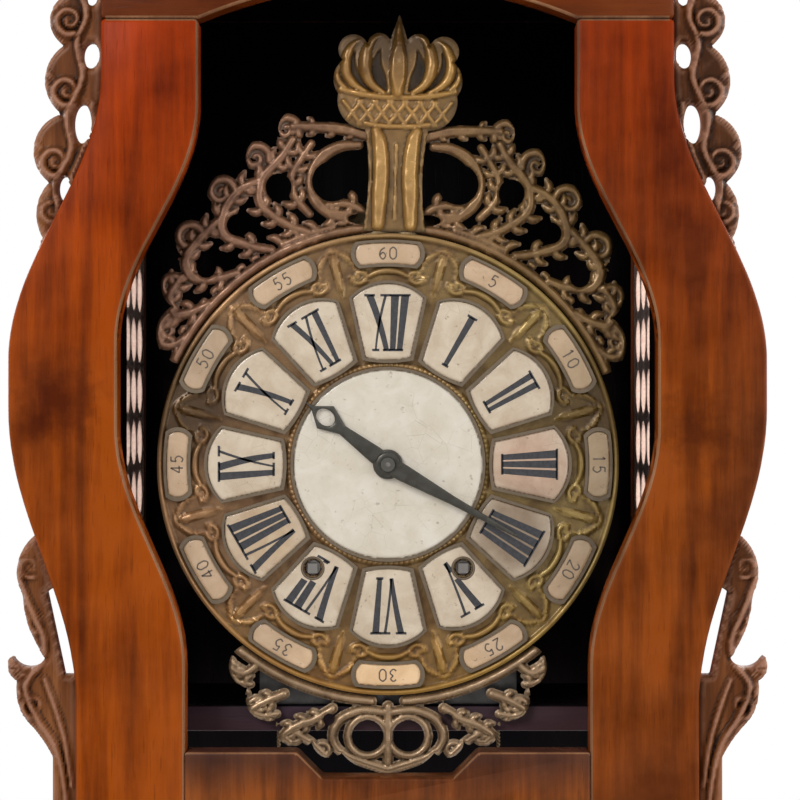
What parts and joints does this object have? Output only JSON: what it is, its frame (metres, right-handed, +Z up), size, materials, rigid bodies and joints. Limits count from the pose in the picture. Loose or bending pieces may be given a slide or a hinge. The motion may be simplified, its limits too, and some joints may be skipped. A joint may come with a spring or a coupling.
{
  "type": "hooded wall clock",
  "caption": "Hooded wall clock: violin-shaped carved wooden door, brass cartouche dial with crown, anchor movement, hanging pendulum and weights.",
  "frame": {"origin": "centre of the wall hanger's hole on the wall's plane", "axes": "+X to the viewer's right, +Y into the wall, +Z up"},
  "size_m": [0.3994, 0.192, 0.9193],
  "materials": {
    "case_wood": "dark stained, waxed",
    "fret_wood": "stained, waxed",
    "frame_wood": "polished red brown veneer",
    "carved_wood": "carved, waxed",
    "cast_brass": "cast, old gilding",
    "dial_brass": "embossed, toned",
    "enamel": "glossy enamel",
    "dark_iron": "blackened",
    "movement_brass": "turned",
    "movement_iron": "filed and oiled",
    "hardware_brass": "satin",
    "polished_brass": "polished",
    "bell_bronze": "dark bronze",
    "gut": "twisted gut",
    "silk": "plain woven silk, stretched"
  },
  "bodies": {
    "root": {"back_board": "case_wood", "side_panel_left": "case_wood", "side_panel_right": "case_wood", "side_frets": "fret_wood", "fret_silk": "silk", "roof_board": "case_wood", "seat_board": "case_wood", "wall_hanger": "dark_iron", "case_hinge_leaves": "hardware_brass", "dial_plate": "dial_brass", "cartouche_rims": "dial_brass", "fronton": "cast_brass", "crown": "cast_brass", "lower_fret": "cast_brass", "centre_disc": "enamel", "hour_cartouches": "enamel", "minute_cartouches": "enamel", "front_plate": "movement_iron", "back_plate": "movement_iron", "pillars_and_feet": "movement_brass", "back_cock": "movement_iron", "suspension_spring": "movement_iron", "bell": "bell_bronze", "bell_stand": "movement_iron", "going_line": "gut", "strike_line": "gut"},
    "door": {"left_stile": "frame_wood", "right_stile": "frame_wood", "bottom_rail": "frame_wood", "arch_rail": "frame_wood", "crest": "carved_wood", "upper_wings": "carved_wood", "lower_wings": "carved_wood", "door_hinge_leaves": "hardware_brass", "latch_staple": "hardware_brass"},
    "latch": {"door_latch": "hardware_brass"},
    "third": {"third_wheel": "movement_brass"},
    "second": {"second_wheel": "movement_brass"},
    "great": {"going_great_wheel": "movement_brass"},
    "centre": {"centre_wheel": "movement_brass", "minute_hand": "dark_iron", "hand_collet": "dark_iron"},
    "minute_work": {"minute_wheel": "movement_brass"},
    "hour": {"hour_wheel": "movement_brass", "hour_hand": "dark_iron"},
    "escape": {"escape_wheel": "movement_brass"},
    "pallets": {"anchor": "movement_iron", "crutch": "movement_iron"},
    "pendulum": {"pendulum_rod": "movement_iron", "pendulum_bob": "polished_brass"},
    "nut": {"rating_nut": "hardware_brass"},
    "going_drum": {"going_barrel": "movement_brass"},
    "going_load": {"going_weight": "polished_brass"},
    "strike_drum": {"strike_barrel": "movement_brass"},
    "strike_load": {"strike_weight": "polished_brass"},
    "strike_great": {"strike_great_wheel": "movement_brass"},
    "pins": {"pin_wheel": "movement_brass"},
    "warning": {"warning_wheel": "movement_brass"},
    "fan": {"fly": "movement_brass"},
    "striker": {"hammer": "movement_iron"}
  },
  "joints": [
    {"name": "door_swing", "type": "hinge", "parent": "root", "child": "door", "pos_m": [-0.1562, -0.1688, -0.27], "axis": [0, 0, 1], "range_deg": [-95, 0]},
    {"name": "latch_turn", "type": "hinge", "parent": "root", "child": "latch", "pos_m": [0.1545, -0.15, -0.3], "axis": [1, 0, 0], "range_deg": [-90, 0]},
    {"name": "third_turn", "type": "hinge", "parent": "root", "child": "third", "pos_m": [0.01399, -0.097, -0.26691], "axis": [0, 1, 0], "continuous": true},
    {"name": "second_turn", "type": "hinge", "parent": "root", "child": "second", "pos_m": [0.02506, -0.097, -0.30909], "axis": [0, 1, 0], "continuous": true},
    {"name": "going_great_turn", "type": "hinge", "parent": "root", "child": "great", "pos_m": [0.04049, -0.097, -0.34599], "axis": [0, 1, 0], "continuous": true},
    {"name": "minute_arbor_turn", "type": "hinge", "parent": "root", "child": "centre", "pos_m": [0, -0.097, -0.29], "axis": [0, 1, 0], "continuous": true},
    {"name": "minute_wheel_turn", "type": "hinge", "parent": "root", "child": "minute_work", "pos_m": [-0.02255, -0.097, -0.29821], "axis": [0, 1, 0], "continuous": true},
    {"name": "hour_hand_turn", "type": "hinge", "parent": "root", "child": "hour", "pos_m": [0, -0.097, -0.29], "axis": [0, 1, 0], "continuous": true},
    {"name": "escape_turn", "type": "hinge", "parent": "root", "child": "escape", "pos_m": [0, -0.097, -0.24992], "axis": [0, 1, 0], "continuous": true},
    {"name": "pendulum_swing", "type": "hinge", "parent": "root", "child": "pendulum", "pos_m": [0, -0.033, -0.2273], "axis": [0, 1, 0], "range_deg": [-3, 3]},
    {"name": "anchor_rock", "type": "hinge", "parent": "root", "child": "pallets", "pos_m": [0, -0.06, -0.2273], "axis": [0, 1, 0], "range_deg": [-3, 3]},
    {"name": "rating_nut_turn", "type": "hinge", "parent": "pendulum", "child": "nut", "pos_m": [0, -0.033, -0.8443], "axis": [0, 0, 1], "continuous": true},
    {"name": "going_barrel_turn", "type": "hinge", "parent": "root", "child": "going_drum", "pos_m": [0.04049, -0.097, -0.34599], "axis": [0, 1, 0], "range_deg": [-293.2, 959.4]},
    {"name": "going_weight_drop", "type": "slide", "parent": "root", "child": "going_load", "axis": [0, 0, 1], "range_m": [-0.36, 0.11], "deforming": ["going_line"]},
    {"name": "strike_barrel_turn", "type": "hinge", "parent": "root", "child": "strike_drum", "pos_m": [-0.04049, -0.097, -0.34599], "axis": [0, 1, 0], "range_deg": [-959.4, 293.2]},
    {"name": "strike_weight_drop", "type": "slide", "parent": "root", "child": "strike_load", "axis": [0, 0, 1], "range_m": [-0.36, 0.11], "deforming": ["strike_line"]},
    {"name": "pin_wheel_turn", "type": "hinge", "parent": "root", "child": "pins", "pos_m": [-0.02506, -0.097, -0.30909], "axis": [0, 1, 0], "continuous": true},
    {"name": "strike_great_turn", "type": "hinge", "parent": "root", "child": "strike_great", "pos_m": [-0.04049, -0.097, -0.34599], "axis": [0, 1, 0], "continuous": true},
    {"name": "warning_turn", "type": "hinge", "parent": "root", "child": "warning", "pos_m": [-0.02978, -0.097, -0.2823], "axis": [0, 1, 0], "continuous": true},
    {"name": "fly_turn", "type": "hinge", "parent": "root", "child": "fan", "pos_m": [-0.03145, -0.097, -0.26317], "axis": [0, 1, 0], "continuous": true},
    {"name": "hammer_lift", "type": "hinge", "parent": "root", "child": "striker", "pos_m": [-0.062, -0.097, -0.295], "axis": [0, 1, 0], "range_deg": [-8, 0]}
  ],
  "couplings": [
    {"joint": "second_turn", "follows": "third_turn", "ratio": 0.020833},
    {"joint": "going_great_turn", "follows": "third_turn", "ratio": -0.0023148},
    {"joint": "minute_arbor_turn", "follows": "third_turn", "ratio": -0.125},
    {"joint": "minute_wheel_turn", "follows": "third_turn", "ratio": 0.041667},
    {"joint": "hour_hand_turn", "follows": "third_turn", "ratio": -0.010417},
    {"joint": "escape_turn", "follows": "third_turn", "ratio": -10},
    {"joint": "anchor_rock", "follows": "pendulum_swing", "ratio": 1},
    {"joint": "going_barrel_turn", "follows": "going_weight_drop", "rad_per_m": -46.512},
    {"joint": "strike_barrel_turn", "follows": "strike_weight_drop", "rad_per_m": 46.512},
    {"joint": "strike_great_turn", "follows": "pin_wheel_turn", "ratio": -0.11111},
    {"joint": "warning_turn", "follows": "pin_wheel_turn", "ratio": -7.5},
    {"joint": "fly_turn", "follows": "pin_wheel_turn", "ratio": 52.5}
  ]
}
